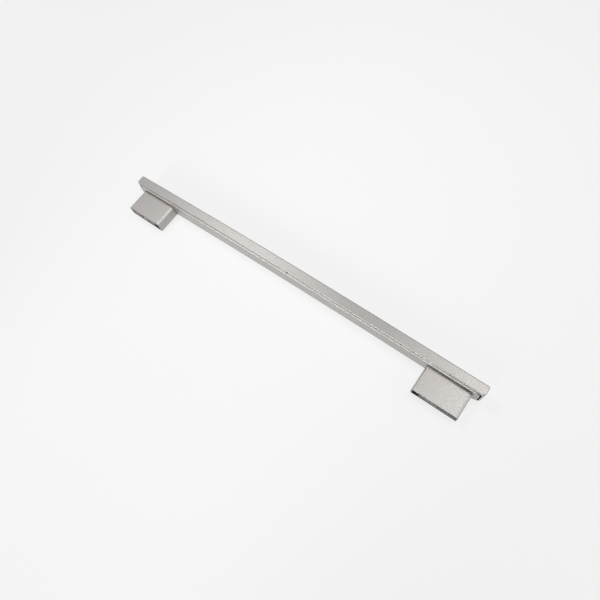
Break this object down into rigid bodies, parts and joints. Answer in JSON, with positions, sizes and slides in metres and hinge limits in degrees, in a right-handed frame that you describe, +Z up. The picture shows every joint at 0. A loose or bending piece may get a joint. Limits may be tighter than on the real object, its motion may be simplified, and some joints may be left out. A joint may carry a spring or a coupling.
{
  "type": "oven door handle",
  "caption": "Straight flat-faced oven door handle: a long trough-shaped cover clipped over a back rail, carried by wide flat legs whose feet screw to the door.",
  "frame": {"origin": "midway between the two door screws, on the plane of the door that the legs' feet stand on", "axes": "+X along the bar, +Y from the door out towards the bar's front, +Z up across the bar's height"},
  "size_m": [0.5, 0.0456, 0.028],
  "materials": {
    "silver_paint": "satin silver paint with a fine grain over moulded plastic",
    "plated_steel": "zinc-plated steel"
  },
  "bodies": {
    "root": {"front_cover": "silver_paint", "back_rail": "silver_paint", "leg_left": "silver_paint", "leg_right": "silver_paint", "door_insert_left": "plated_steel", "door_insert_right": "plated_steel", "leg_screw_1": "plated_steel", "leg_screw_2": "plated_steel", "leg_screw_3": "plated_steel", "leg_screw_4": "plated_steel"}
  },
  "joints": []
}
